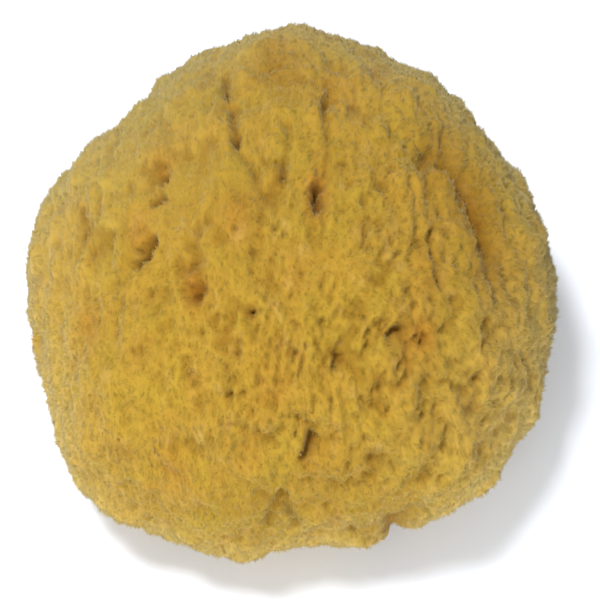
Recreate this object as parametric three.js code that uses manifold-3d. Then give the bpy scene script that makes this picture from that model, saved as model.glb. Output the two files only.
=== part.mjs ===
// A natural sea sponge, dried and trimmed for the bath. It grew as one piece: a soft, slightly
// flattened cushion with a knobbly skin, furrows and the dark mouths of its water canals. It is
// cut flat underneath, where it held on to the rock, and it rests on that cut.
// Millimetres, +Z up. The origin is the middle of the flat cut, and -Y is the front.
import * as THREE from "three";
import { mergeVertices } from "three/addons/utils/BufferGeometryUtils.js";
import Module from "manifold-3d";

// The cushion: its widest level above the cut, and how far it rises and drops from there.
const WIDEST_HEIGHT = 26;
const DOME_RISE = 54;
const UNDERSIDE_DROP = 38;
const FULLNESS = 2.35; // 2 would be an ellipsoid, and more is boxier

// The outline at the widest level: its distance from the middle, every 15 degrees from +X to +Y.
const RIM = [
  70, 69.5, 68.5, 70, 71.5, 74, 76.5, 72.5, 69.5, 65, 68.5, 70, 70, 68.5, 69.5, 75.5, 72.5,
  71.5, 66.5, 68, 70.5, 71.5, 71, 69.5,
];

// Places on the skin are [azimuth, elevation] in degrees, seen from the middle of the widest level.
// A swelling is a soft rise: where it is, how far it reaches and how high it stands.
const SWELLINGS = [
  { at: [135, 48], reach: 15, height: 2.2 },
  { at: [172, 46], reach: 13, height: 1.6 },
  { at: [200, 70], reach: 12, height: 1.5 },
  { at: [228, 30], reach: 18, height: 1.6 },
  { at: [335, 62], reach: 14, height: 1.6 },
  { at: [2, 28], reach: 10, height: 2.2 },
  { at: [308, 12], reach: 12, height: 1.5 },
  { at: [286, -6], reach: 6, height: 1.8 },
  { at: [262, -4], reach: 12, height: 1.6 },
  { at: [92, 34], reach: 13, height: 2 },
  { at: [52, 38], reach: 14, height: 0.9 },
  { at: [70, 6], reach: 12, height: 1.6 },
  { at: [118, 12], reach: 13, height: 1.8 },
  { at: [160, 4], reach: 12, height: 1.5 },
  { at: [212, 2], reach: 12, height: 1.4 },
  { at: [24, -4], reach: 11, height: 1.5 },
  { at: [171, 2], reach: 6, height: 1.5 },
  { at: [235, 0], reach: 7, height: 1.9 },
];

// A hollow is a pit, or a furrow along a path: its half width and its depth.
const HOLLOWS = [
  // The long furrow down the upper left of the dome, its end pit, and the trail that leaves it.
  { path: [[112, 45], [115, 53], [122, 62], [131, 68]], width: 1.9, depth: 2.4 },
  { path: [[127, 66], [131, 68]], width: 1.8, depth: 1.8 },
  { path: [[132, 70], [131, 74], [166, 83]], width: 1.9, depth: 1.2 },
  // The row of canal mouths on the left shoulder.
  { path: [[158, 56], [167, 58]], width: 1.4, depth: 3.4 },
  { path: [[179, 57], [177, 59]], width: 1.8, depth: 3.4 },
  { path: [[194, 55], [202, 50]], width: 2, depth: 4.6 },
  { path: [[190, 52]], width: 2, depth: 1.2 },
  { path: [[174, 37], [184, 39]], width: 1.7, depth: 1.8 },
  // The two stained mouths near the top, with the streaks that lead to them.
  { path: [[25, 82], [343, 82]], width: 2, depth: 3.8 },
  { path: [[341, 82], [292, 78]], width: 1.8, depth: 1.3 },
  { path: [[68, 63], [50, 75], [19, 82]], width: 1.8, depth: 1.3 },
  { path: [[74, 57], [71, 63]], width: 1.9, depth: 2 },
  { path: [[224, 57], [229, 56]], width: 2, depth: 3.6 },
  { path: [[196, 69], [206, 64], [217, 60]], width: 1.8, depth: 1.5 },
  { path: [[90, 67], [93, 75], [101, 82]], width: 1.7, depth: 1.5 },
  { path: [[101, 83]], width: 1.5, depth: 1.6 },
  // Small mouths scattered over the front of the dome.
  { path: [[254, 58]], width: 1.4, depth: 3 },
  { path: [[274, 57]], width: 1.4, depth: 1.8 },
  { path: [[287, 48], [285, 46]], width: 1.6, depth: 2.6 },
  { path: [[237, 44], [240, 42], [243, 40]], width: 1.5, depth: 1.5 },
  { path: [[252, 40]], width: 1.4, depth: 2 },
  { path: [[256, 41]], width: 1.3, depth: 2.4 },
  { path: [[253, 44]], width: 1.3, depth: 1.6 },
  { path: [[310, 48], [306, 48]], width: 1.7, depth: 3.2 },
  { path: [[300, 51], [297, 49]], width: 1.6, depth: 2 },
  { path: [[315, 44], [313, 43]], width: 1.7, depth: 3 },
  // The largest mouth, low on the front, with a pair above it.
  { path: [[276, 31], [274, 27]], width: 2.3, depth: 4.6 },
  { path: [[272, 36]], width: 1.4, depth: 1.8 },
  { path: [[275, 35]], width: 1.4, depth: 2.2 },
  // Folds low on the front.
  { path: [[268, 18], [267, 14], [265, 7]], width: 1.8, depth: 2.2 },
  { path: [[269, 18], [270, 12], [271, 5]], width: 1.8, depth: 2 },
  { path: [[278, 13]], width: 1.6, depth: 1.2 },
  { path: [[294, 22]], width: 1.9, depth: 1.6 },
  { path: [[308, 24], [305, 22]], width: 1.8, depth: 2 },
  { path: [[293, 4], [294, -12], [295, -24]], width: 4, depth: 3.4 },
  // The valley inside the right edge, with a deeper line in it.
  { path: [[25, 50], [14, 44], [6, 42], [356, 40], [346, 37]], width: 5, depth: 2.4 },
  { path: [[14, 44], [6, 42], [356, 40]], width: 2.4, depth: 0.9 },
  { path: [[348, 34], [351, 34], [350, 32]], width: 1.6, depth: 1.2 },
  { path: [[350, 54], [335, 52], [330, 48]], width: 1.8, depth: 1.6 },
  { path: [[19, 63], [11, 66]], width: 1.6, depth: 1.8 },
  { path: [[21, 53]], width: 1.8, depth: 1.2 },
  // Dips near the top edge, and nicks in the outline.
  { path: [[98, 48], [92, 47]], width: 2.4, depth: 2 },
  { path: [[77, 50], [73, 56]], width: 2.6, depth: 1.2 },
  { path: [[37, 33], [40, 14]], width: 2, depth: 1.2 },
  { path: [[334, 20], [334, 12]], width: 1.7, depth: 2.2 },
  // The back and the sides.
  { path: [[58, 11], [61, 9]], width: 2.2, depth: 4.2 },
  { path: [[67, 17]], width: 1.5, depth: 2.6 },
  { path: [[135, 22], [138, 20]], width: 2.5, depth: 5 },
  { path: [[128, 17]], width: 1.4, depth: 2.4 },
  { path: [[101, 9], [103, 6]], width: 2, depth: 3.4 },
  { path: [[95, 2]], width: 1.5, depth: 2.4 },
  { path: [[81, 19], [82, 21]], width: 1.6, depth: 3 },
  { path: [[150, 5], [152, 3]], width: 1.9, depth: 3.5 },
  { path: [[28, 6], [26, 4]], width: 1.9, depth: 3.2 },
  { path: [[36, -4]], width: 1.5, depth: 2.6 },
  { path: [[118, 30]], width: 1.6, depth: 3 },
  { path: [[159, 26], [158, 23]], width: 1.7, depth: 3 },
  { path: [[192, 10], [194, 7]], width: 1.9, depth: 3.4 },
  { path: [[201, 1]], width: 1.4, depth: 2.4 },
  { path: [[215, 18]], width: 1.7, depth: 3 },
  { path: [[240, 4]], width: 1.7, depth: 3 },
  { path: [[0, 6], [358, 4]], width: 1.9, depth: 3.4 },
  { path: [[9, 11]], width: 1.4, depth: 2.4 },
  { path: [[324, 4]], width: 1.7, depth: 3 },
  { path: [[86, -10], [84, -12]], width: 1.9, depth: 3 },
];

// Knobs cover the whole skin. Each has a height of its own between the least and the most.
const KNOB_SPACING = 9.5;
const KNOB_REACH = 4.2;
const KNOB_LEAST = 0.3;
const KNOB_MOST = 1.9;
const KNOB_STRAY = 0.45; // of the spacing
const KNOB_SEED = 11;
const MEAN_RADIUS = 62; // of the whole cushion, to count the knobs

// Canals open on the cut: [x, y, radius at the cut, depth].
const CUT_CANALS = [
  [-22, 14, 3.6, 9], [18, 24, 3, 8], [30, -6, 4, 10], [-34, -12, 2.8, 7], [-8, -30, 3.4, 9],
  [8, 40, 2.6, 6], [-12, 38, 2.4, 7], [22, -30, 2.8, 8], [-30, 34, 2.2, 6], [42, 18, 2.4, 6],
  [-44, 8, 2.4, 6], [10, -44, 2.2, 6],
];
const CANAL_SIDES = 10;
const CANAL_TIP_SHARE = 0.45; // of its radius at the cut

// The facets: the longest edge on open skin, and in a hollow. They start from a coarse ball.
const OPEN_EDGE = 5.2;
const HOLLOW_EDGE = 2.8;
const HOLLOW_SHARE = 1.05; // of a hollow's half width, where the short edges start
const BALL_DETAIL = 3;
const SPLITTING_PASSES = 5;
const MERGE_DISTANCE = 1e-4;

const SPONGE_COLOUR = 0xc39c45;

function direction([azimuth, elevation]) {
  const turn = THREE.MathUtils.degToRad(azimuth);
  const rise = THREE.MathUtils.degToRad(elevation);
  const level = Math.cos(rise);
  return new THREE.Vector3(level * Math.cos(turn), level * Math.sin(turn), Math.sin(rise));
}

// The outline's distance from the middle at any azimuth, as a smooth closed curve through RIM.
function rimRadius(azimuth) {
  const count = RIM.length;
  const place = THREE.MathUtils.euclideanModulo(azimuth / (2 * Math.PI), 1) * count;
  const from = Math.floor(place) % count;
  const share = place - Math.floor(place);
  const [a, b, c, d] = [-1, 0, 1, 2].map((step) => RIM[(from + step + count) % count]);
  const cubic = 3 * (b - c) + d - a;
  return b + 0.5 * share * (c - a + share * (2 * a - 5 * b + 4 * c - d + share * cubic));
}

// The plain cushion's distance from the middle of its widest level, along a unit vector.
function cushionRadius(way) {
  const level = Math.hypot(way.x, way.y) / rimRadius(Math.atan2(way.y, way.x));
  const rise = Math.abs(way.z) / (way.z > 0 ? DOME_RISE : UNDERSIDE_DROP);
  return (level ** FULLNESS + rise ** FULLNESS) ** (-1 / FULLNESS);
}

// How far a unit vector lies from a path of unit vectors, as a share of the radius there.
function distanceToPath(way, path) {
  if (path.length === 1) return way.distanceTo(path[0]);
  const stretches = path.slice(1).map((end, i) => new THREE.Line3(path[i], end));
  const distances = stretches.map((stretch) => {
    return way.distanceTo(stretch.closestPointToPoint(way, true, new THREE.Vector3()));
  });
  return Math.min(...distances);
}

// Numbers from 0 to 1 that are the same in every run.
function seededNumbers(seed) {
  let state = seed;
  return () => {
    state = (Math.imul(state, 1664525) + 1013904223) >>> 0;
    return state / 2 ** 32;
  };
}

// Knobs on an even spiral over the whole skin, each strayed from its place and of its own height.
function scatterKnobs() {
  const next = seededNumbers(KNOB_SEED);
  const count = Math.round((4 * Math.PI * MEAN_RADIUS ** 2) / KNOB_SPACING ** 2);
  const golden = Math.PI * (3 - Math.sqrt(5));
  const stray = (KNOB_STRAY * KNOB_SPACING) / MEAN_RADIUS;
  return Array.from({ length: count }, (_, i) => {
    const z = 1 - (2 * i + 1) / count;
    const level = Math.sqrt(1 - z * z);
    const at = new THREE.Vector3(level * Math.cos(golden * i), level * Math.sin(golden * i), z);
    at.add(new THREE.Vector3(next() - 0.5, next() - 0.5, next() - 0.5).multiplyScalar(2 * stray));
    return { at: at.normalize(), height: THREE.MathUtils.lerp(KNOB_LEAST, KNOB_MOST, next()) };
  });
}

const swellings = SWELLINGS.map((s) => ({ ...s, at: direction(s.at) }));
const hollows = HOLLOWS.map((h) => ({ ...h, path: h.path.map(direction) }));
const knobs = scatterKnobs();

const bell = (distance, reach) => Math.exp(-((distance / reach) ** 2));

// The knobbly, furrowed skin's distance from the middle of the widest level.
function skinRadius(way) {
  const radius = cushionRadius(way);
  let out = radius;
  for (const { at, reach, height } of swellings) {
    out += height * bell(radius * way.distanceTo(at), reach);
  }
  for (const { at, height } of knobs) {
    out += height * bell(radius * way.distanceTo(at), KNOB_REACH);
  }
  for (const { path, width, depth } of hollows) {
    out -= depth * bell(radius * distanceToPath(way, path), width);
  }
  return out;
}

// The longest edge that the facets may have near a unit vector.
function longestEdge(way) {
  const radius = cushionRadius(way);
  const inHollow = hollows.some(
    ({ path, width }) => radius * distanceToPath(way, path) < HOLLOW_SHARE * width,
  );
  return inHollow ? HOLLOW_EDGE : OPEN_EDGE;
}

// Splits every edge of a triangle mesh that is longer than its place allows. An edge's middle is
// shared by the triangles on both its sides, so the mesh stays closed.
function refine(ways, triangles) {
  const middles = new Map();
  const middleOf = (a, b) => {
    const key = a < b ? `${a} ${b}` : `${b} ${a}`;
    if (!middles.has(key)) {
      const way = new THREE.Vector3().addVectors(ways[a], ways[b]).normalize();
      const length = ways[a].distanceTo(ways[b]) * cushionRadius(way);
      const split = length > longestEdge(way);
      middles.set(key, split ? ways.push(way) - 1 : null);
    }
    return middles.get(key);
  };
  return triangles.flatMap((corners) => {
    const cut = corners.map((corner, i) => middleOf(corner, corners[(i + 1) % 3]));
    const count = cut.filter((middle) => middle !== null).length;
    if (count === 0) return [corners];
    // Turned so that the first edge is cut, and, where two are, so that the last one is whole.
    let first = cut.findIndex((middle) => middle !== null);
    if (count === 2) first = (cut.indexOf(null) + 1) % 3;
    const [a, b, c] = [0, 1, 2].map((i) => corners[(first + i) % 3]);
    const [ab, bc, ca] = [0, 1, 2].map((i) => cut[(first + i) % 3]);
    if (count === 1) return [[a, ab, c], [ab, b, c]];
    if (count === 2) return [[ab, b, bc], [a, ab, bc], [a, bc, c]];
    return [[a, ab, ca], [ab, b, bc], [ca, bc, c], [ab, bc, ca]];
  });
}

// A geometry whose triangles share their corners, with positions only.
function shareCorners(geometry) {
  geometry.deleteAttribute("normal");
  geometry.deleteAttribute("uv");
  return mergeVertices(geometry, MERGE_DISTANCE);
}

// The closed skin, before it is cut.
function spongeSkin() {
  const ball = shareCorners(new THREE.IcosahedronGeometry(1, BALL_DETAIL));
  const spots = ball.getAttribute("position");
  const ways = [];
  for (let i = 0; i < spots.count; i++) ways.push(new THREE.Vector3().fromBufferAttribute(spots, i));
  let triangles = [];
  for (let i = 0; i < ball.index.count; i += 3) {
    triangles.push([0, 1, 2].map((corner) => ball.index.getX(i + corner)));
  }
  for (let pass = 0; pass < SPLITTING_PASSES; pass++) triangles = refine(ways, triangles);
  const points = ways.flatMap((way) => {
    const point = way.clone().multiplyScalar(skinRadius(way));
    return [point.x, point.y, point.z + WIDEST_HEIGHT];
  });
  return new THREE.BufferGeometry()
    .setAttribute("position", new THREE.Float32BufferAttribute(points, 3))
    .setIndex(triangles.flat());
}

// A slab that takes away everything below the cut.
function belowTheCut() {
  const side = 4 * Math.max(...RIM);
  return new THREE.BoxGeometry(side, side, side).translate(0, 0, -side / 2);
}

// The mouth of a canal on the cut: a blunt cone that narrows as it goes up into the sponge.
function canal([x, y, radius, depth]) {
  const below = 1;
  const profile = [
    [0, -below],
    [radius, -below],
    [radius, 0],
    [radius * CANAL_TIP_SHARE, depth],
    [0, depth],
  ].map(([across, up]) => new THREE.Vector2(across, up));
  return new THREE.LatheGeometry(profile, CANAL_SIDES).rotateX(Math.PI / 2).translate(x, y, 0);
}

const wasm = await Module();
wasm.setup();

function toSolid(geometry) {
  const merged = shareCorners(geometry);
  return new wasm.Manifold(
    new wasm.Mesh({
      numProp: 3,
      vertProperties: new Float32Array(merged.getAttribute("position").array),
      triVerts: new Uint32Array(merged.index.array),
    }),
  );
}

function toGeometry(solid) {
  const { vertProperties, triVerts } = solid.getMesh();
  const geometry = new THREE.BufferGeometry()
    .setAttribute("position", new THREE.BufferAttribute(vertProperties, 3))
    .setIndex(new THREE.BufferAttribute(triVerts, 1));
  geometry.computeVertexNormals();
  return geometry;
}

const cutAway = [belowTheCut(), ...CUT_CANALS.map(canal)].map(toSolid);
const trimmed = cutAway.reduce((solid, piece) => solid.subtract(piece), toSolid(spongeSkin()));

const sponge = new THREE.Mesh(
  toGeometry(trimmed),
  new THREE.MeshStandardMaterial({ color: SPONGE_COLOUR, roughness: 1, metalness: 0 }),
);
sponge.name = "sponge";

const group = new THREE.Group();
group.add(sponge);
export default group;
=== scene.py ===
import math
import bpy
import numpy as np
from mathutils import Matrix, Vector, kdtree


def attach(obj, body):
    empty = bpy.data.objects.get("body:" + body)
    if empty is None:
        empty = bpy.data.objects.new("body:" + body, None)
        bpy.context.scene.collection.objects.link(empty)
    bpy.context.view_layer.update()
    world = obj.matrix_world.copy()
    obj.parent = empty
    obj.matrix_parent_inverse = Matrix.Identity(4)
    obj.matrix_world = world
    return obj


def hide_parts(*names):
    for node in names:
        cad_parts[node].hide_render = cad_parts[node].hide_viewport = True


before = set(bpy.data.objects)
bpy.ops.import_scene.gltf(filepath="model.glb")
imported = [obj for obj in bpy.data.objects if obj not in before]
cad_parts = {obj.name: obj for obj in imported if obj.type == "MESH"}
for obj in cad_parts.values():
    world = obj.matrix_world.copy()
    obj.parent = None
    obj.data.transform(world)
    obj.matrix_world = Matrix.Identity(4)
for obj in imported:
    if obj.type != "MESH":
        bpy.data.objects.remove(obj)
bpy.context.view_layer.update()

# The cushion: the dried skeleton of a sea sponge, one springy mass of fibre that grew in lumps
# round its water canals. It was cut off the rock underneath and rests on that cut. It is a ball of
# directions pushed out to the skin, in millimetres, with the lumps and furrows of the CAD solid.
MM = 0.001
WIDEST_HEIGHT = 26
DOME_RISE = 54
UNDERSIDE_DROP = 38
FULLNESS = 2.35

# The outline at the widest level, every 15 degrees from +X to +Y.
RIM = np.array([
    70, 69.5, 68.5, 70, 71.5, 74, 76.5, 72.5, 69.5, 65, 68.5, 70, 70, 68.5, 69.5, 75.5,
    72.5, 71.5, 66.5, 68, 70.5, 71.5, 71, 69.5,
])

# Swellings as ((azimuth, elevation), reach, height), seen from the middle of the widest level.
SWELLINGS = [
    ((135, 48), 15, 2.2), ((172, 46), 13, 1.6), ((200, 70), 12, 1.5), ((228, 30), 18, 1.6),
    ((335, 62), 14, 1.6), ((2, 28), 10, 2.2), ((308, 12), 12, 1.5), ((286, -6), 6, 1.8),
    ((262, -4), 12, 1.6), ((92, 34), 13, 2), ((52, 38), 14, 0.9), ((70, 6), 12, 1.6),
    ((118, 12), 13, 1.8), ((160, 4), 12, 1.5), ((212, 2), 12, 1.4), ((24, -4), 11, 1.5),
    ((171, 2), 6, 1.5), ((235, 0), 7, 1.9),
]

# Hollows as (path of (azimuth, elevation), half width, depth): furrows, canal mouths and folds.
HOLLOWS = [
    # The long furrow at the upper left, its end pit, and the trail that leaves it.
    ([(112, 45), (115, 53), (122, 62), (131, 68)], 1.9, 2.4),
    ([(127, 66), (131, 68)], 1.8, 1.8),
    ([(132, 70), (131, 74), (166, 83)], 1.9, 1.2),
    # The canal mouths on the left shoulder.
    ([(158, 56), (167, 58)], 1.4, 3.4),
    ([(179, 57), (177, 59)], 1.8, 3.4),
    ([(194, 55), (202, 50)], 2, 4.6),
    ([(190, 52)], 2, 1.2),
    ([(174, 37), (184, 39)], 1.7, 1.8),
    # The stained mouths near the top, with the streaks that lead to them.
    ([(25, 82), (343, 82)], 2, 3.8),
    ([(341, 82), (292, 78)], 1.8, 1.3),
    ([(68, 63), (50, 75), (19, 82)], 1.8, 1.3),
    ([(74, 57), (71, 63)], 1.9, 2),
    ([(224, 57), (229, 56)], 2, 3.6),
    ([(196, 69), (206, 64), (217, 60)], 1.8, 1.5),
    ([(90, 67), (93, 75), (101, 82)], 1.7, 1.5),
    ([(101, 83)], 1.5, 1.6),
    # Small mouths over the front of the dome.
    ([(254, 58)], 1.4, 3),
    ([(274, 57)], 1.4, 1.8),
    ([(287, 48), (285, 46)], 1.6, 2.6),
    ([(237, 44), (240, 42), (243, 40)], 1.5, 1.5),
    ([(252, 40)], 1.4, 2),
    ([(256, 41)], 1.3, 2.4),
    ([(253, 44)], 1.3, 1.6),
    ([(310, 48), (306, 48)], 1.7, 3.2),
    ([(300, 51), (297, 49)], 1.6, 2),
    ([(315, 44), (313, 43)], 1.7, 3),
    # The largest mouth, low on the front, with a pair above it.
    ([(276, 31), (274, 27)], 2.3, 4.6),
    ([(272, 36)], 1.4, 1.8),
    ([(275, 35)], 1.4, 2.2),
    # Folds low on the front.
    ([(268, 18), (267, 14), (265, 7)], 1.8, 2.2),
    ([(269, 18), (270, 12), (271, 5)], 1.8, 2),
    ([(278, 13)], 1.6, 1.2),
    ([(294, 22)], 1.9, 1.6),
    ([(308, 24), (305, 22)], 1.8, 2),
    ([(293, 4), (294, -12), (295, -24)], 4, 3.4),
    # The valley inside the right edge, with a deeper line in it.
    ([(25, 50), (14, 44), (6, 42), (356, 40), (346, 37)], 5, 2.4),
    ([(14, 44), (6, 42), (356, 40)], 2.4, 0.9),
    ([(348, 34), (351, 34), (350, 32)], 1.6, 1.2),
    ([(350, 54), (335, 52), (330, 48)], 1.8, 1.6),
    ([(19, 63), (11, 66)], 1.6, 1.8),
    ([(21, 53)], 1.8, 1.2),
    # Dips near the top edge, and nicks in the outline.
    ([(98, 48), (92, 47)], 2.4, 2),
    ([(77, 50), (73, 56)], 2.6, 1.2),
    ([(37, 33), (40, 14)], 2, 1.2),
    ([(334, 20), (334, 12)], 1.7, 2.2),
    # The back and the sides.
    ([(58, 11), (61, 9)], 2.2, 4.2),
    ([(67, 17)], 1.5, 2.6),
    ([(135, 22), (138, 20)], 2.5, 5),
    ([(128, 17)], 1.4, 2.4),
    ([(101, 9), (103, 6)], 2, 3.4),
    ([(95, 2)], 1.5, 2.4),
    ([(81, 19), (82, 21)], 1.6, 3),
    ([(150, 5), (152, 3)], 1.9, 3.5),
    ([(28, 6), (26, 4)], 1.9, 3.2),
    ([(36, -4)], 1.5, 2.6),
    ([(118, 30)], 1.6, 3),
    ([(159, 26), (158, 23)], 1.7, 3),
    ([(192, 10), (194, 7)], 1.9, 3.4),
    ([(201, 1)], 1.4, 2.4),
    ([(215, 18)], 1.7, 3),
    ([(240, 4)], 1.7, 3),
    ([(0, 6), (358, 4)], 1.9, 3.4),
    ([(9, 11)], 1.4, 2.4),
    ([(324, 4)], 1.7, 3),
    ([(86, -10), (84, -12)], 1.9, 3),
]

KNOB_SPACING = 9.5
KNOB_REACH = 4.2
KNOB_LEAST = 0.3
KNOB_MOST = 1.9
KNOB_STRAY = 0.45
KNOB_SEED = 11
MEAN_RADIUS = 62
HOLLOW_ROUGHNESS = 0.5
HOLLOW_SEED = 3
HOLLOW_NARROWING = 0.68  # the fibres fill the edges of each hollow
WIDE_HOLLOW = 3  # a valley this wide keeps its whole width
HOLLOW_BEND = 1.0
HOLLOW_BEND_SIZE = 4
RAGGED_SIZE = 2.2
HOLLOW_SHAPE = [(0.65, 1.1), (0.5, 0.6)]  # share and reach of a wide dip and a steeper one in it
KNOB_ENDS = 3.5  # a knob has faded out at this many times its reach
NOISE_LATTICE = 32


def direction(azimuth, elevation):
    turn, rise = math.radians(azimuth), math.radians(elevation)
    level = math.cos(rise)
    return np.array([level * math.cos(turn), level * math.sin(turn), math.sin(rise)])


def distance_from(ways, at):
    """How far each direction lies from an (azimuth, elevation), in millimetres on a mean ball."""
    return MEAN_RADIUS * np.linalg.norm(ways - direction(*at), axis=1)


def unit(vectors):
    return vectors / np.maximum(np.linalg.norm(vectors, axis=-1, keepdims=True), 1e-9)


def rim_radius(azimuth):
    """The outline's distance from the middle, as a smooth closed curve through RIM."""
    place = azimuth / (2 * np.pi) % 1 * len(RIM)
    start = np.floor(place).astype(int)
    share = place - start
    a, b, c, d = (RIM[(start + step) % len(RIM)] for step in (-1, 0, 1, 2))
    cubic = 3 * (b - c) + d - a
    return b + 0.5 * share * (c - a + share * (2 * a - 5 * b + 4 * c - d + share * cubic))


def cushion_radius(ways):
    """How far the plain cushion reaches from its middle in each direction."""
    level = np.hypot(ways[:, 0], ways[:, 1]) / rim_radius(np.arctan2(ways[:, 1], ways[:, 0]))
    rise = np.abs(ways[:, 2]) / np.where(ways[:, 2] > 0, DOME_RISE, UNDERSIDE_DROP)
    return (level ** FULLNESS + rise ** FULLNESS) ** (-1 / FULLNESS)


def distance_to_path(ways, path):
    """How far each direction lies from a path of directions, as a share of the radius."""
    nearest = np.linalg.norm(ways - path[0], axis=1)
    for start, end in zip(path, path[1:]):
        stretch = end - start
        share = np.clip((ways - start) @ stretch / (stretch @ stretch), 0, 1)
        gap = ways - start - share[:, None] * stretch
        nearest = np.minimum(nearest, np.linalg.norm(gap, axis=1))
    return nearest


def seeded_numbers(seed):
    """Numbers from 0 to 1, the same ones that the CAD solid's knobs were placed with."""
    state = seed
    while True:
        state = (state * 1664525 + 1013904223) % 2 ** 32
        yield state / 2 ** 32


def even_spiral(count):
    """Directions spread evenly over the whole ball."""
    step = np.arange(count)
    z = 1 - (2 * step + 1) / count
    level = np.sqrt(1 - z * z)
    turn = step * np.pi * (3 - math.sqrt(5))
    return np.stack([level * np.cos(turn), level * np.sin(turn), z], axis=1)


def knobs():
    """The shallow knobs of the skin, as (direction, height)."""
    following = seeded_numbers(KNOB_SEED)
    count = round(4 * math.pi * MEAN_RADIUS ** 2 / KNOB_SPACING ** 2)
    stray = 2 * KNOB_STRAY * KNOB_SPACING / MEAN_RADIUS
    for place in even_spiral(count):
        push = np.array([next(following) for _ in range(3)]) - 0.5
        height = KNOB_LEAST + (KNOB_MOST - KNOB_LEAST) * next(following)
        yield unit(place + stray * push), height


def bell(distance, reach):
    return np.exp(-((distance / reach) ** 2))


def soft_noise(points, size, seed):
    """Smooth noise from -1 to 1 in space, with waves of about that size in millimetres."""
    lattice = np.random.default_rng(seed).uniform(-1, 1, (NOISE_LATTICE,) * 3)
    place = points / size
    low = np.floor(place).astype(int)
    share = place - low
    share = share * share * (3 - 2 * share)
    total = np.zeros(len(points))
    for step in np.ndindex(2, 2, 2):
        x, y, z = ((low + step) % NOISE_LATTICE).T
        total += lattice[x, y, z] * np.where(step, share, 1 - share).prod(1)
    return total


def lumps(ways, radius):
    """How far the swellings and knobs raise the skin."""
    rise = np.zeros(len(ways))
    for at, reach, height in SWELLINGS:
        rise += height * bell(radius * np.linalg.norm(ways - direction(*at), axis=1), reach)
    for at, height in knobs():
        near = np.flatnonzero(ways @ at > math.cos(KNOB_ENDS * KNOB_REACH / MEAN_RADIUS))
        distance = radius[near] * np.linalg.norm(ways[near] - at, axis=1)
        rise[near] += height * bell(distance, KNOB_REACH)
    return rise


def hollow_depths(ways, radius):
    """How far the furrows, mouths and folds sink the skin, with ragged edges."""
    depths = np.zeros(len(ways))
    even = ways * MEAN_RADIUS
    ragged = soft_noise(even, RAGGED_SIZE, HOLLOW_SEED)
    bend = [soft_noise(even, HOLLOW_BEND_SIZE, HOLLOW_SEED + 1 + i) for i in range(3)]
    bent = ways + HOLLOW_BEND / MEAN_RADIUS * np.stack(bend, 1)
    for path, width, depth in HOLLOWS:
        places = [direction(*at) for at in path]
        narrowed = HOLLOW_NARROWING if width < WIDE_HOLLOW else 1
        distance = radius * distance_to_path(bent, places) / (narrowed * width)
        distance *= 1 + HOLLOW_ROUGHNESS * ragged
        depths += depth * sum(share * bell(distance, reach) for share, reach in HOLLOW_SHAPE)
    return depths


# The skin: the same fibre felted into a soft layer, as it grew. It is drawn out in faint streaks up
# and down the dome, split by a maze of slits, and pricked by small pores. The pores stand close
# together low on the front, at the right of it, and round the back, which the photo doesn't show.
STREAK_SIZE = np.array([1.7, 6, 4.5])
STREAK_HEIGHT = 0.82
STREAKS_ON_SIDES = 0.3  # the share of their height that they keep where the skin turns down
TURNING_UP = (0.5, 0.85)
STREAK_SLANT = 0.4
SLANTED = ((300, 43), 26)
STREAK_SEED = 21
FELT_SIZE = 2.6
FELT_HEIGHT = 0.32
FELT_SEED = 22
BUMP_SIZE = 5.5
BUMP_HEIGHT = 0.8
BUMP_GROWTH = 0.3  # how much higher the bumps are on rough skin
BUMP_SEED = 24
TUFT_SIZE = 1.5
TUFT_HEIGHT = 0.18
TUFT_SEED = 26
GRAIN_SIZE = 0.8
GRAIN_HEIGHT = 0.12
GRAIN_SEED = 8
MAZE_SIZE = np.array([1.7, 2.8, 2.4])
MAZE_DEPTH = 0.7
MAZE_OPENS = 0.4
MAZE_OPEN = 1.1
MAZE_SPREAD = 0.4  # how much sooner the slits open on rough skin
MAZE_SEED = 41
PORE_SPACING = 4.6
PORE_SHARE = 0.07
PORE_WIDTH = (0.5, 0.9)
PORE_STRETCH = 1.8
PORE_DEPTH = (0.6, 1.6)
PORE_STRAY = 0.4
PORE_RAGGED = 0.5
PORE_RAGGED_SIZE = 0.9
PORE_ENDS = 4  # a pore has faded out at this many times its width
PORE_SEED = 5

# Rough and pored patches as ((azimuth, elevation), reach, strength).
PORED_PATCHES = [
    ((285, 50), 30, 0.5), ((305, 32), 26, 0.7), ((252, 38), 20, 0.4), ((335, 55), 22, 0.3),
    ((315, 18), 16, 0.5),
]
PATCH_PORES = 0.3
SEEN_FROM = (270, 62)
SEEN = (-0.1, 0.35)  # from turned away to in full view
UNSEEN_PORES = 0.6
UNSEEN_PORE_GROWTH = 0.5
UNSEEN_ROUGHNESS = 1.1
NAP_ROOM = 0.9  # how far the skin lies inside the tips of its fibres
BODY_NET = 128
MAP_MARGIN = 0.02
SIMPLE_HALVES = (MEAN_RADIUS * 1.15, MEAN_RADIUS * 1.2, DOME_RISE * 0.85)
TOP_CROWDING = 0.3  # sets the points closer together on the top than on the cut
MIDDLE = np.array([0, 0, WIDEST_HEIGHT])


def smooth_step(low, high, value):
    """A smooth climb from 0 to 1 as the value goes from low to high."""
    share = np.clip((value - low) / (high - low), 0, 1)
    return share * share * (3 - 2 * share)


def upright_of(ways):
    """The way out of the plain cushion, near enough, at each direction from its middle."""
    return unit(ways / SIMPLE_HALVES)


def up_the_dome(upright):
    """The way along the skin towards the back, which is up in a picture from the front."""
    return unit(np.array([0, 1, 0]) - upright * upright[:, 1:2])


def unseen(upright):
    """From 0 to 1: how far each place lies out of the photo's view, round the back and sides."""
    return 1 - smooth_step(*SEEN, upright @ direction(*SEEN_FROM))


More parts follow.
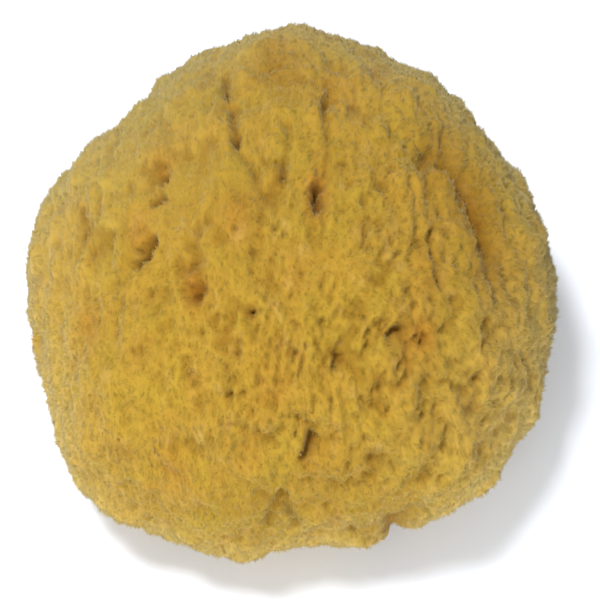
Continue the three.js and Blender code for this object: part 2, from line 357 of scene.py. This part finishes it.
def pore_depths(ways, radius):
    """How far the pores sink the skin, each one longer up the dome than across."""
    chance = np.random.default_rng(PORE_SEED)
    count = round(4 * math.pi * (MEAN_RADIUS / PORE_SPACING) ** 2)
    stray = PORE_STRAY * PORE_SPACING / MEAN_RADIUS
    places = unit(even_spiral(count) + stray * chance.normal(size=(count, 3)))
    share = PORE_SHARE + UNSEEN_PORES * unseen(upright_of(places))
    for at, reach, more in PORED_PATCHES:
        share += PATCH_PORES * more * bell(distance_from(places, at), reach)
    along = up_the_dome(upright_of(places))
    ragged = 1 + PORE_RAGGED * soft_noise(ways * MEAN_RADIUS, PORE_RAGGED_SIZE, PORE_SEED)
    larger = 1 + UNSEEN_PORE_GROWTH * unseen(upright_of(places))
    depths = np.zeros(len(ways))
    for i in np.flatnonzero(chance.random(count) < share):
        width = larger[i] * chance.uniform(*PORE_WIDTH)
        depth = larger[i] * chance.uniform(*PORE_DEPTH)
        end = PORE_ENDS * width * PORE_STRETCH / MEAN_RADIUS
        near = np.flatnonzero(ways @ places[i] > math.cos(end))
        gap = radius[near, None] * (ways[near] - places[i])
        lengthwise = gap @ along[i]
        squared = (gap * gap).sum(1) - lengthwise ** 2 * (1 - PORE_STRETCH ** -2)
        pore = depth * np.exp(-squared * ragged[near] / width ** 2)
        depths[near] = np.maximum(depths[near], pore)
    return depths


def ball_of_squares(side):
    """A ball of six square nets, as directions, quads, and a flat map of each quad's corners."""
    angle = np.linspace(-np.pi / 4, np.pi / 4, side + 1)
    u, v = np.meshgrid(np.tan(angle), np.tan(angle), indexing="ij")
    one = np.ones_like(u)
    nets = [(u, v, one), (v, u, -one), (one, u, v), (-one, v, u), (v, one, u), (u, -one, v)]
    places = np.concatenate([np.stack(net, axis=-1).reshape(-1, 3) for net in nets])
    merged, shared = np.unique(np.round(places, 6), axis=0, return_inverse=True)
    row = side + 1
    i, j = (index.ravel() for index in np.indices((side, side)))
    corners = np.stack([i * row + j, (i + 1) * row + j, (i + 1) * row + j + 1, i * row + j + 1], 1)
    quads = np.concatenate([corners + net * row * row for net in range(len(nets))])
    grid = np.stack(np.meshgrid(np.linspace(0, 1, row), np.linspace(0, 1, row), indexing="ij"), -1)
    flat = grid.reshape(-1, 2)[corners]
    flat = flat * (1 - 2 * MAP_MARGIN) + MAP_MARGIN
    tiles = [(flat + [net % 3, net // 3]) / [3, 2] for net in range(len(nets))]
    return unit(merged), shared.reshape(-1)[quads], np.concatenate(tiles)


def build_mesh(name, points, faces, maps):
    """A mesh of faces with the same number of corners, from points in millimetres."""
    mesh = bpy.data.meshes.new(name)
    count, corners = faces.shape
    mesh.vertices.add(len(points))
    mesh.vertices.foreach_set("co", (points * MM).astype(np.float32).ravel())
    mesh.loops.add(count * corners)
    mesh.loops.foreach_set("vertex_index", faces.astype(np.int32).ravel())
    mesh.polygons.add(count)
    mesh.polygons.foreach_set("loop_start", np.arange(0, count * corners, corners, dtype=np.int32))
    mesh.update(calc_edges=True)
    mesh.validate()
    mesh.shade_smooth()
    layer = mesh.uv_layers.new(name="OFBake")
    layer.uv.foreach_set("vector", maps.astype(np.float32).ravel())
    piece = bpy.data.objects.new(name, mesh)
    bpy.context.scene.collection.objects.link(piece)
    return piece


def write_values(piece, **values):
    """Numbers kept at the points of the mesh, for the colours to read."""
    for name, numbers in values.items():
        attribute = piece.data.attributes.new(name, "FLOAT", "POINT")
        attribute.data.foreach_set("value", np.asarray(numbers, np.float32))


def felt_relief(places, slanted, rough):
    """The height of the felt over the plain cushion: streaks, soft bumps, and a maze of slits."""
    leaning = places.copy()
    leaning[:, 0] -= STREAK_SLANT * slanted * places[:, 1]
    facing_up = smooth_step(*TURNING_UP, upright_of(unit(places))[:, 2])
    kept = STREAKS_ON_SIDES + (1 - STREAKS_ON_SIDES) * facing_up
    streaks = STREAK_HEIGHT * kept * soft_noise(leaning / STREAK_SIZE, 1, STREAK_SEED)
    bumps = FELT_HEIGHT * soft_noise(places, FELT_SIZE, FELT_SEED) * (1 + rough)
    bumps += BUMP_HEIGHT * soft_noise(places, BUMP_SIZE, BUMP_SEED) * (1 + BUMP_GROWTH * rough)
    bumps += TUFT_HEIGHT * soft_noise(places, TUFT_SIZE, TUFT_SEED) * (1 + rough)
    sooner = MAZE_SPREAD * rough
    maze = soft_noise(leaning / MAZE_SIZE, 1, MAZE_SEED)
    slits = smooth_step(MAZE_OPENS - sooner, MAZE_OPEN - sooner, maze)
    return streaks + bumps - MAZE_DEPTH * slits


ways, quads, body_map = ball_of_squares(BODY_NET)
ways = unit(ways + [0, 0, TOP_CROWDING])
cushion = cushion_radius(ways)
plain = ways * cushion[:, None]
hollow = hollow_depths(ways, cushion)
pores = pore_depths(ways, cushion)
rough_patch = UNSEEN_ROUGHNESS * unseen(upright_of(ways))
for at, reach, more in PORED_PATCHES:
    rough_patch += more * bell(distance_from(ways, at), reach)
slant = bell(distance_from(ways, SLANTED[0]), SLANTED[1])
felt = felt_relief(plain, slant, rough_patch)
grain = GRAIN_HEIGHT * soft_noise(plain, GRAIN_SIZE, GRAIN_SEED)
skin = cushion + lumps(ways, cushion) - hollow - pores - NAP_ROOM + felt + grain

# The cut underneath: the knife went straight through the fibre and the canals, so the flat is a
# net of fibre walls with open cells between them, and a few round canals go up into the sponge.
# The canals stand as (x, y, radius, depth).
CUT_CANALS = [
    (-22, 14, 3.6, 9), (18, 24, 3, 8), (30, -6, 4, 10), (-34, -12, 2.8, 7), (-8, -30, 3.4, 9),
    (8, 40, 2.6, 6), (-12, 38, 2.4, 7), (22, -30, 2.8, 8), (-30, 34, 2.2, 6), (42, 18, 2.4, 6),
    (-44, 8, 2.4, 6), (10, -44, 2.2, 6),
]
CANAL_FLOOR = 0.45  # the share of a canal's radius that is at its full depth
CUT_EDGE = 2.2
CUT_FADE = (0.5, 2.5)
CELL_DEPTH = 1.2
CELL_SIZE = 1.9
CELL_SEED = 31
CELL_WALL = (0.05, 0.5)
NO_CUT = 1000  # how far the cut is from the middle for a way that goes up

to_cut = np.where(ways[:, 2] < 0, WIDEST_HEIGHT / np.maximum(-ways[:, 2], 1e-6), NO_CUT)
near_edge = np.clip(CUT_EDGE - np.abs(skin - to_cut), 0, None)
out = np.minimum(skin, to_cut) - near_edge ** 2 / (4 * CUT_EDGE)
points = MIDDLE + ways * out[:, None]
on_cut = smooth_step(*CUT_FADE, skin - to_cut)
cells = CELL_DEPTH * smooth_step(*CELL_WALL, soft_noise(points, CELL_SIZE, CELL_SEED))
for x, y, radius, depth in CUT_CANALS:
    away = np.hypot(points[:, 0] - x, points[:, 1] - y)
    cells = np.maximum(cells, depth * (1 - smooth_step(CANAL_FLOOR * radius, radius, away)))
points[:, 2] += on_cut * cells

# The marks in the fibre: rust round some mouths, painted shade down in the hollows, pores and slits
# and in the shaded valley, a greenish grey back rim and left shoulder, and painted light low on the
# sides. They are colour only, so the mesh keeps them as numbers from 0 to 1. Each place stands as
# ((azimuth, elevation), reach, strength).
RUSTY = [
    ((222, 58), 2.6, 0.7), ((228, 56), 2.4, 0.5), ((30, 82), 3, 0.8), ((346, 83), 3, 0.9),
    ((204, 75), 4, 0.45), ((208, 33), 3.5, 0.5), ((244, 22), 4, 0.55), ((315, 44), 2.4, 0.7),
    ((310, 46), 3, 0.25), ((95, 46), 5, 0.35), ((75, 50), 5, 0.35), ((6, 43), 5, 0.3),
    ((190, 52), 3.5, 0.5), ((161, 56), 3, 0.4), ((275, 27), 3, 0.4), ((262, 46), 6, 0.25),
]
SHADE_PLACES = [  # painted shade in the shaded valley at the right, the hollow near the top edge, and a slit at the far left
    ((24, 50), 7, 0.4), ((8, 43), 7, 0.5), ((352, 39), 6, 0.4), ((95, 47), 6, 0.4),
    ((330, 50), 7, 0.2), ((176, 37), 1.5, 0.7), ((183, 38), 1.8, 0.9),
]
# Places of painted light at the lower right and lower left, paler where the floor and the lamps
# light the low sides.
LIT_PLACES = [((332, 4), 27, 1.1), ((212, 0), 22, 0.45)]
GREEN_SHOULDER = ((152, 36), 24, 0.5)
STAIN_STRETCH = 0.7  # how much of the distance up the dome doesn't count
FULL_SHADE_AT = (4, 3, 4)  # depths at which hollows, pores and cut cells are wholly in painted shade
SUNK_FELT = (0.1, 1.2)
# Painted shade where the felt sinks between its bumps.
SUNK_SHADE = 0.5
EDGE_TURN = 0.15
EDGE_REACH = 0.3
BACK_RIM = (-18, 22)
BACK_RIM_SLANT = 0.35
GREEN_ON_CUT = 0.6  # how much of the green is missing on the cut
SKIRT = (6, 42)
LEFT_SIDE = (40, 66)
LEFT_SIDE_LIGHT = 0.35
UNSEEN_LIGHT_LOST = 0.8
ROOT_TONE = 0.3


def near_places(ways, places):
    """From 0 to 1: how near each direction is to the places, which are longer up the dome."""
    total = np.zeros(len(ways))
    for at, reach, strength in places:
        gap = MEAN_RADIUS * (ways - direction(*at))
        lengthwise = gap @ up_the_dome(upright_of(direction(*at)[None]))[0]
        squared = (gap * gap).sum(1) - STAIN_STRETCH * lengthwise ** 2
        total += strength * np.exp(-squared / reach ** 2)
    return np.clip(total, 0, 1)


sponge_body = build_mesh("sponge_body", points, quads, body_map)
# Painted shade: the deeper the hollows, pores, slits and cut cells, the darker and browner the
# colour.
sunk_shade = SUNK_SHADE * smooth_step(*SUNK_FELT, -felt)
depth_shade = hollow / FULL_SHADE_AT[0] + pores / FULL_SHADE_AT[1] + sunk_shade + on_cut * cells / FULL_SHADE_AT[2]
depth_shade = np.clip(depth_shade, 0, 1)
upright = upright_of(ways)
at_edge = bell(upright @ direction(*SEEN_FROM) - EDGE_TURN, EDGE_REACH)
# A greenish grey band along the back rim, where the skin turns away from the front.
back_rim = smooth_step(*BACK_RIM, points[:, 1] + BACK_RIM_SLANT * points[:, 0]) * at_edge
shoulder_at, shoulder_reach, shoulder_green = GREEN_SHOULDER
shoulder = shoulder_green * bell(distance_from(ways, shoulder_at), shoulder_reach)
# Painted light: paler low on the sides, on the left side and at those places, and less of it round
# the back.
lit_share = 1 - smooth_step(*SKIRT, points[:, 2])
lit_share += LEFT_SIDE_LIGHT * smooth_step(*LEFT_SIDE, -points[:, 0])
for at, reach, strength in LIT_PLACES:
    lit_share += strength * bell(distance_from(ways, at), reach)
lit_share *= 1 - UNSEEN_LIGHT_LOST * unseen(upright)
# The first mark is painted shade, in the hollows and the shaded places; the last is painted light
# on the low sides.
looks = {
    "hollow": np.maximum(depth_shade, near_places(ways, SHADE_PLACES)),
    "rusty": near_places(ways, RUSTY),
    "green_grey": np.clip(back_rim + shoulder, 0, 1) * (1 - GREEN_ON_CUT * on_cut),
    "painted_light": np.clip(lit_share, 0, 1) * (1 - back_rim) * (1 - on_cut),
}
# The skin takes the shaded root tone, darker still in the painted shade of the hollows.
write_values(sponge_body, tip=ROOT_TONE * (1 - depth_shade), **looks)

# The nap: the loose ends of the springy fibre, brushed one way in soft drifts. Each one is a thin
# closed spike with its root in the skin, and the nap is parted in four fields.
FIBRES_IN_FIELD = 49900
FIBRE_LENGTH = (0.8, 1.6)
FIBRE_WIDTH = (0.12, 0.22)
BURIED = 0.25
ABOVE_CUT = 0.05
DEEP = (0.4, 0.9)
BARE_DEEP = 0.6  # the share of fibres missing down in the hollows
NEAR_CUT = (1, 16)
BARE_NEAR_CUT = 0.5
SHORT_NEAR_CUT = 0.45
LONG_FROM = (2, 20)
BRUSHED = 0.7
BRUSHED_BACK = (-30, 10)
BRUSHED_DOWN = (-62, -30)
BRUSHED_DOWN_SHARE = 0.6
DRIFT = 0.45
DRIFT_SIZE = 4.5
LOOSE = 0.15
TUFT_SPACING = 2.1
TUFT_STRAY = 0.35
TUFT_STRETCH = np.array([1, 1.9, 1.5])
TUFT_REACH = 1.3
TUFT_EDGE = 1.3  # nothing counts as further out than this many times the reach
LENGTH_IN_MIDDLE = 1.15
LENGTH_LOST = 0.4  # how much shorter the fibres are at the reach of their tuft
GATHER = 0.6
ROUNDED = 0.8
UNEVEN = 0.22
TUFT_EDGE_SHADE = 0.8  # how much darker the tips are at the reach of their tuft, painted shade between the tufts
TONE_SPREAD = 0.35  # some fibres are paler and some darker than their neighbours
# The share of the hollows' painted shade that the fibre tips keep.
TIP_SHADE_KEPT = 0.6
MAP_ROW = 4
SPIKE_MAP = np.array([
    [(0.1, 0.1), (0.5, 0.1), (0.5, 0.9)], [(0.5, 0.1), (0.9, 0.1), (0.5, 0.9)],
    [(0.9, 0.1), (0.1, 0.1), (0.5, 0.9)], [(0.9, 0.1), (0.5, 0.1), (0.1, 0.1)],
])
THIRDS = (0, 2 * math.pi / 3, 4 * math.pi / 3)
NAP_SEED = 23
FIELDS = ("nap_front_left", "nap_front_right", "nap_back_left", "nap_back_right")


def inside(values, picked, weights):
    """Values of the skin's points, at places inside its triangles."""
    weights = weights if values.ndim == 1 else weights[..., None]
    return (values[picked] * weights).sum(1)


triangles = np.concatenate([quads[:, [0, 1, 2]], quads[:, [0, 2, 3]]])
cross = np.cross(points[triangles[:, 1]] - points[triangles[:, 0]],
                 points[triangles[:, 2]] - points[triangles[:, 0]])
area = np.linalg.norm(cross, axis=1) / 2
skin_turn = np.zeros_like(points)
for corner in triangles.T:
    np.add.at(skin_turn, corner, cross)
skin_turn = unit(skin_turn)
middle = points[triangles].mean(1)
wanted = area * (1 - on_cut[triangles].max(1))
wanted *= 1 - BARE_DEEP * smooth_step(*DEEP, depth_shade[triangles].mean(1))
wanted *= 1 - BARE_NEAR_CUT * (1 - smooth_step(*NEAR_CUT, middle[:, 2]))
field = 2 * (middle[:, 1] > 0) + (middle[:, 0] > 0)
brushed_back = smooth_step(*BRUSHED_BACK, points[:, 1:2])
brushed_down = BRUSHED_DOWN_SHARE * (1 - smooth_step(*BRUSHED_DOWN, points[:, 1:2]))
brush = up_the_dome(upright) * (brushed_back - brushed_down)
drift = np.stack([soft_noise(plain, DRIFT_SIZE, NAP_SEED + i) for i in range(3)], axis=1)
flow = unit(upright + BRUSHED * brush + DRIFT * drift)
chance = np.random.default_rng(NAP_SEED)
tuft_count = round(4 * math.pi * (MEAN_RADIUS / TUFT_SPACING) ** 2)
tuft_ways = unit(even_spiral(tuft_count)
                 + TUFT_STRAY * TUFT_SPACING / MEAN_RADIUS * chance.normal(size=(tuft_count, 3)))
tufts = tuft_ways * cushion_radius(tuft_ways)[:, None]
nearest_tuft = kdtree.KDTree(tuft_count)
for index, at in enumerate(tufts / TUFT_STRETCH):
    nearest_tuft.insert(at, index)
nearest_tuft.balance()
naps = []
for number, name in enumerate(FIELDS):
    share = np.where(field == number, wanted, 0)
    chosen = chance.choice(len(triangles), FIBRES_IN_FIELD, p=share / share.sum())
    picked = triangles[chosen]
    weights = chance.dirichlet((1, 1, 1), FIBRES_IN_FIELD)
    root = inside(points, picked, weights)
    even = inside(plain, picked, weights)
    tuft = np.array([nearest_tuft.find(at)[1] for at in even / TUFT_STRETCH])
    aside = (even - tufts[tuft]) / TUFT_REACH
    out_of_middle = np.clip(np.linalg.norm(aside, axis=1), 0, TUFT_EDGE)
    loose = LOOSE * chance.normal(size=root.shape)
    lean = unit(inside(flow, picked, weights) - GATHER * aside + loose)
    length = chance.uniform(*FIBRE_LENGTH, FIBRES_IN_FIELD)
    length *= LENGTH_IN_MIDDLE - LENGTH_LOST * out_of_middle
    length *= 1 - SHORT_NEAR_CUT * (1 - smooth_step(*LONG_FROM, root[:, 2]))
    tip = root + lean * length[:, None]
    tip[:, 2] = np.maximum(tip[:, 2], ABOVE_CUT)
    root = root - BURIED * unit(lean + inside(upright, picked, weights))
    axis = unit(tip - root)
    side = unit(np.cross(axis, chance.normal(size=axis.shape)))
    other = np.cross(axis, side)
    half = chance.uniform(*FIBRE_WIDTH, FIBRES_IN_FIELD)[:, None] / 2
    ring = [root + half * (math.cos(turn) * side + math.sin(turn) * other) for turn in THIRDS]
    spikes = np.stack([*ring, tip], axis=1).reshape(-1, 3)
    first = 4 * np.arange(FIBRES_IN_FIELD)[:, None]
    corners = ([0, 1, 3], [1, 2, 3], [2, 0, 3], [2, 1, 0])
    faces = np.stack([first + corner for corner in corners], 1)
    across = math.ceil(math.sqrt(FIBRES_IN_FIELD))
    order = np.lexsort((root[:, 0], np.round(root[:, 1] / MAP_ROW)))
    tile = np.empty(FIBRES_IN_FIELD, int)
    tile[order] = np.arange(FIBRES_IN_FIELD)
    tile_at = np.stack([tile % across, tile // across], 1)
    maps = (tile_at[:, None, None, :] + SPIKE_MAP) / across
    nap = build_mesh(name, spikes, faces.reshape(-1, 3), maps.reshape(-1, 2))
    uneven = UNEVEN * chance.normal(size=root.shape)
    turned = unit(inside(skin_turn, picked, weights) + ROUNDED * aside + uneven)
    nap.data.normals_split_custom_set_from_vertices(np.repeat(turned, 4, axis=0))
    looks_here = {
        key: np.repeat(inside(values, picked, weights), 4) for key, values in looks.items()
    }
    # Painted shade on the fibres: the hollows' shade, less of it at the tips, roots darker than
    # tips, and tips darker towards the edge of their tuft.
    looks_here["hollow"][3::4] *= TIP_SHADE_KEPT
    tip_here = ROOT_TONE * (1 - looks_here["hollow"])
    tip_here[3::4] = 1 - TUFT_EDGE_SHADE * out_of_middle
    tip_here += np.repeat(TONE_SPREAD * chance.normal(size=FIBRES_IN_FIELD), 4)
    write_values(nap, tip=tip_here, **looks_here)
    naps.append(nap)


# The colour of spongin, the horny stuff of the fibre: golden ochre that goes greenish, orange and
# pinkish in patches. It is matt and lets a little light through. It is darker at the roots and
# paler at the tips as painted shade in the nap, paler low on the sides as painted light, rusty
# round some mouths, and brown down in the hollows as painted shade.
SPONGIN = {
    "Roughness": 0.95,
    "Specular IOR Level": 0.1,
    "Sheen Weight": 0.3,
    "Sheen Roughness": 0.45,
    "Sheen Tint": (1, 0.86, 0.52, 1),
    "Subsurface Weight": 0.3,
    "Subsurface Radius": (1, 0.6, 0.25),
    "Subsurface Scale": 0.6 * MM,
}
# The ochre at the roots is darker, as painted shade down in the nap.
SHADED_ROOT_OCHRE = (0.335, 0.197, 0.021)
TIP_OCHRE = (0.46, 0.288, 0.04)

# Patches as (colour, (size, where the noise starts to show it and shows it whole, shift, stretch),
# strength), and marks as (name on the mesh, colour, strength): greenish grey, painted light, rust,
# and the dark brown of painted shade.
PATCHES = [
    ((0.38, 0.26, 0.024), (15, 0.42, 0.62, 1.3, 1), 0.4),
    ((0.42, 0.23, 0.030), (9, 0.5, 0.68, 4.1, 1.8), 0.4),
    ((0.47, 0.30, 0.085), (4, 0.55, 0.75, 7.7, 1.6), 0.4),
    ((0.32, 0.19, 0.016), (2.2, 0.5, 0.75, 9.2, 2.2), 0.3),
    ((0.31, 0.165, 0.014), (5.5, 0.5, 0.7, 12.3, 2.2), 0.35),
]
STAINS_LIGHT_AND_SHADE = [
    ("green_grey", (0.38, 0.31, 0.115), 0.6),
    # Painted light on the low sides and the left.
    ("painted_light", (0.58, 0.40, 0.10), 0.75),
    ("rusty", (0.36, 0.145, 0.015), 0.8),
    # Painted shade: the dark brown down in the hollows, pores and slits.
    ("hollow", (0.19, 0.082, 0.006), 0.9),
]
PATCH_DETAIL = 3


def spongin():
    """The material of the whole sponge."""
    material = bpy.data.materials.new("spongin_fibre")
    material.use_nodes = True
    tree = material.node_tree
    shader = tree.nodes["Principled BSDF"]
    for socket, value in SPONGIN.items():
        shader.inputs[socket].default_value = value
    place = tree.nodes.new("ShaderNodeTexCoord").outputs["Object"]

    def from_mesh(name):
        read = tree.nodes.new("ShaderNodeAttribute")
        read.attribute_name = name
        return read.outputs["Fac"]

    def patches(size, low, high, shift, stretch):
        moved = tree.nodes.new("ShaderNodeMapping")
        moved.inputs["Location"].default_value = (shift, -shift, 2 * shift)
        moved.inputs["Scale"].default_value = (1, 1 / stretch, 1 / stretch)
        tree.links.new(place, moved.inputs["Vector"])
        noise = tree.nodes.new("ShaderNodeTexNoise")
        noise.inputs["Scale"].default_value = 1 / (size * MM)
        noise.inputs["Detail"].default_value = PATCH_DETAIL
        tree.links.new(moved.outputs["Vector"], noise.inputs["Vector"])
        spread = tree.nodes.new("ShaderNodeMapRange")
        spread.interpolation_type = "SMOOTHSTEP"
        spread.inputs["From Min"].default_value = low
        spread.inputs["From Max"].default_value = high
        tree.links.new(noise.outputs["Fac"], spread.inputs["Value"])
        return spread.outputs["Result"]

    def blend(under, colour, factor, most=1.0):
        share = tree.nodes.new("ShaderNodeMath")
        share.operation = "MULTIPLY"
        share.inputs[1].default_value = most
        tree.links.new(factor, share.inputs[0])
        mix = tree.nodes.new("ShaderNodeMix")
        mix.data_type = "RGBA"
        tree.links.new(share.outputs["Value"], mix.inputs["Factor"])
        if isinstance(under, tuple):
            mix.inputs["A"].default_value = (*under, 1)
        else:
            tree.links.new(under, mix.inputs["A"])
        mix.inputs["B"].default_value = (*colour, 1)
        return mix.outputs["Result"]

    # Painted shade: darker at the roots and on the skin, paler at the tips.
    colour = blend(SHADED_ROOT_OCHRE, TIP_OCHRE, from_mesh("tip"))
    for tint, spread, strength in PATCHES:
        colour = blend(colour, tint, patches(*spread), strength)
    for name, tint, strength in STAINS_LIGHT_AND_SHADE:
        colour = blend(colour, tint, from_mesh(name), strength)
    tree.links.new(colour, shader.inputs["Base Color"])
    return material


fibre = spongin()
for piece in (sponge_body, *naps):
    piece.data.materials.append(fibre)
    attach(piece, "root")
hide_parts("sponge")

# The floor and the light: a plain sheet of cool white card, a soft lamp up at the left, a wide one
# low in front, and a pale room all round. They aren't part of the sponge.
CARD_HALF = 3
COOL_WHITE = (0.875, 0.92, 1, 1)
LAMPS = {  # where it stands, its width and its power in watts
    "key_lamp": ((-0.3, 0.08, 1.1), 0.25, 11.2),
    "front_lamp": ((-0.08, -1.0, 0.28), 1.5, 16.5),
}
ROOM = 0.475

floor_mesh = bpy.data.meshes.new("floor")
card = [(x * CARD_HALF, y * CARD_HALF, 0) for x, y in ((-1, -1), (1, -1), (1, 1), (-1, 1))]
floor_mesh.from_pydata(card, [], [(0, 1, 2, 3)])
floor = bpy.data.objects.new("floor", floor_mesh)
bpy.context.scene.collection.objects.link(floor)
paint = bpy.data.materials.new("floor_white")
paint.use_nodes = True
paint.node_tree.nodes["Principled BSDF"].inputs["Base Color"].default_value = COOL_WHITE
paint.node_tree.nodes["Principled BSDF"].inputs["Roughness"].default_value = 1
floor_mesh.materials.append(paint)

for name, (place, width, power) in LAMPS.items():
    lamp = bpy.data.objects.new(name, bpy.data.lights.new(name, "AREA"))
    lamp.data.size = width
    lamp.data.energy = power
    lamp.location = place
    lamp.rotation_euler = Vector(place).to_track_quat("Z", "Y").to_euler()
    bpy.context.scene.collection.objects.link(lamp)

room = bpy.data.worlds.new("room")
room.use_nodes = True
room.node_tree.nodes["Background"].inputs["Color"].default_value = (1, 1, 1, 1)
room.node_tree.nodes["Background"].inputs["Strength"].default_value = ROOM
bpy.context.scene.world = room
bpy.context.scene.view_settings.view_transform = "Standard"

# The camera: from the front and well above, as the photo was taken. Its lens is set from how far
# it stands and from how much of the sponge one pixel of the photo covers.
CAMERA_RISE = math.radians(62)
CAMERA_DISTANCE = 0.56
LOOK_AT = Vector((0.0024, -0.0002, 0.0279))
PIXEL = 0.1415 / 531  # in metres at the sponge
SENSOR = 36
PICTURE = 600

camera = bpy.data.objects.new("camera", bpy.data.cameras.new("camera"))
camera.data.sensor_width = SENSOR
camera.data.lens = SENSOR * CAMERA_DISTANCE / PIXEL / PICTURE
away = Vector((0, -math.cos(CAMERA_RISE), math.sin(CAMERA_RISE)))
camera.location = LOOK_AT + away * CAMERA_DISTANCE
camera.rotation_euler = away.to_track_quat("Z", "Y").to_euler()
bpy.context.scene.collection.objects.link(camera)
bpy.context.scene.camera = camera
